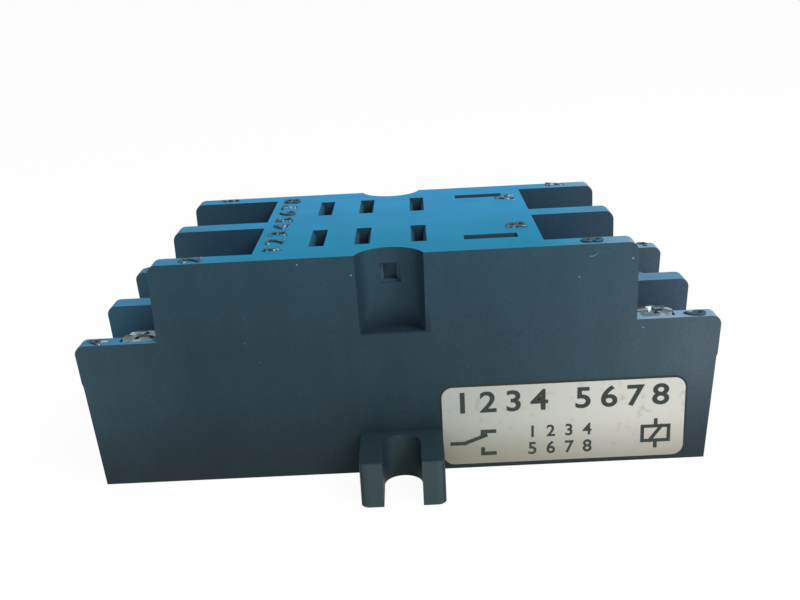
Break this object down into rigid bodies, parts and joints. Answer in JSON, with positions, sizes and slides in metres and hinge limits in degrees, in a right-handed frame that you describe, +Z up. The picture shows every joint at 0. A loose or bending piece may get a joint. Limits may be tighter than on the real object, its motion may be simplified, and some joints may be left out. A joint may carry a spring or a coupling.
{
  "type": "relay socket",
  "caption": "Two-tier panel-mount socket for a plug-in relay, with screw terminals between fins at both ends and two notched mounting ears.",
  "frame": {"origin": "middle of the underside, which stands on the panel", "axes": "+X along the length, +Y across it towards the long side without the label, +Z up out of the panel"},
  "size_m": [0.086, 0.0544, 0.0318],
  "materials": {
    "moulded_plastic": "moulded, satin",
    "base_plastic": "flat sheet",
    "label_paper": "coated sticker",
    "tinned_brass": "tin-plated sheet",
    "clamp_steel": "zinc-plated sheet",
    "screw_steel": "nickel-plated"
  },
  "bodies": {
    "socket": {"housing": "moulded_plastic", "base_plate": "base_plastic", "base_screws": "screw_steel", "label": "label_paper", "terminal_1": "tinned_brass", "terminal_2": "tinned_brass", "terminal_3": "tinned_brass", "terminal_4": "tinned_brass", "terminal_5": "tinned_brass", "terminal_6": "tinned_brass", "terminal_7": "tinned_brass", "terminal_8": "tinned_brass"},
    "clamp_1": {"clamp_plate_1": "clamp_steel"},
    "screw_1": {"terminal_screw_1": "screw_steel"},
    "clamp_2": {"clamp_plate_2": "clamp_steel"},
    "screw_2": {"terminal_screw_2": "screw_steel"},
    "clamp_3": {"clamp_plate_3": "clamp_steel"},
    "screw_3": {"terminal_screw_3": "screw_steel"},
    "clamp_4": {"clamp_plate_4": "clamp_steel"},
    "screw_4": {"terminal_screw_4": "screw_steel"},
    "clamp_5": {"clamp_plate_5": "clamp_steel"},
    "screw_5": {"terminal_screw_5": "screw_steel"},
    "clamp_6": {"clamp_plate_6": "clamp_steel"},
    "screw_6": {"terminal_screw_6": "screw_steel"},
    "clamp_7": {"clamp_plate_7": "clamp_steel"},
    "screw_7": {"terminal_screw_7": "screw_steel"},
    "clamp_8": {"clamp_plate_8": "clamp_steel"},
    "screw_8": {"terminal_screw_8": "screw_steel"}
  },
  "joints": [
    {"name": "clamp_1_lift", "type": "slide", "parent": "socket", "child": "clamp_1", "axis": [0, 0, 1], "range_m": [0, 0.0024]},
    {"name": "screw_1_turn", "type": "hinge", "parent": "clamp_1", "child": "screw_1", "pos_m": [-0.0362, -0.0086, 0.01665], "axis": [0, 0, 1], "range_deg": [0, 1080]},
    {"name": "clamp_2_lift", "type": "slide", "parent": "socket", "child": "clamp_2", "axis": [0, 0, 1], "range_m": [0, 0.0024]},
    {"name": "screw_2_turn", "type": "hinge", "parent": "clamp_2", "child": "screw_2", "pos_m": [-0.02435, -0.0086, 0.0271], "axis": [0, 0, 1], "range_deg": [0, 1080]},
    {"name": "clamp_3_lift", "type": "slide", "parent": "socket", "child": "clamp_3", "axis": [0, 0, 1], "range_m": [0, 0.0024]},
    {"name": "screw_3_turn", "type": "hinge", "parent": "clamp_3", "child": "screw_3", "pos_m": [0.02435, -0.0086, 0.0271], "axis": [0, 0, 1], "range_deg": [0, 1080]},
    {"name": "clamp_4_lift", "type": "slide", "parent": "socket", "child": "clamp_4", "axis": [0, 0, 1], "range_m": [0, 0.0024]},
    {"name": "screw_4_turn", "type": "hinge", "parent": "clamp_4", "child": "screw_4", "pos_m": [0.0362, -0.0086, 0.01665], "axis": [0, 0, 1], "range_deg": [0, 1080]},
    {"name": "clamp_5_lift", "type": "slide", "parent": "socket", "child": "clamp_5", "axis": [0, 0, 1], "range_m": [0, 0.0024]},
    {"name": "screw_5_turn", "type": "hinge", "parent": "clamp_5", "child": "screw_5", "pos_m": [-0.0362, 0.0086, 0.01665], "axis": [0, 0, 1], "range_deg": [0, 1080]},
    {"name": "clamp_6_lift", "type": "slide", "parent": "socket", "child": "clamp_6", "axis": [0, 0, 1], "range_m": [0, 0.0024]},
    {"name": "screw_6_turn", "type": "hinge", "parent": "clamp_6", "child": "screw_6", "pos_m": [-0.02435, 0.0086, 0.0271], "axis": [0, 0, 1], "range_deg": [0, 1080]},
    {"name": "clamp_7_lift", "type": "slide", "parent": "socket", "child": "clamp_7", "axis": [0, 0, 1], "range_m": [0, 0.0024]},
    {"name": "screw_7_turn", "type": "hinge", "parent": "clamp_7", "child": "screw_7", "pos_m": [0.02435, 0.0086, 0.0271], "axis": [0, 0, 1], "range_deg": [0, 1080]},
    {"name": "clamp_8_lift", "type": "slide", "parent": "socket", "child": "clamp_8", "axis": [0, 0, 1], "range_m": [0, 0.0024]},
    {"name": "screw_8_turn", "type": "hinge", "parent": "clamp_8", "child": "screw_8", "pos_m": [0.0362, 0.0086, 0.01665], "axis": [0, 0, 1], "range_deg": [0, 1080]}
  ],
  "couplings": [
    {"joint": "screw_1_turn", "follows": "clamp_1_lift", "rad_per_m": 7854},
    {"joint": "screw_2_turn", "follows": "clamp_2_lift", "rad_per_m": 7854},
    {"joint": "screw_3_turn", "follows": "clamp_3_lift", "rad_per_m": 7854},
    {"joint": "screw_4_turn", "follows": "clamp_4_lift", "rad_per_m": 7854},
    {"joint": "screw_5_turn", "follows": "clamp_5_lift", "rad_per_m": 7854},
    {"joint": "screw_6_turn", "follows": "clamp_6_lift", "rad_per_m": 7854},
    {"joint": "screw_7_turn", "follows": "clamp_7_lift", "rad_per_m": 7854},
    {"joint": "screw_8_turn", "follows": "clamp_8_lift", "rad_per_m": 7854}
  ]
}
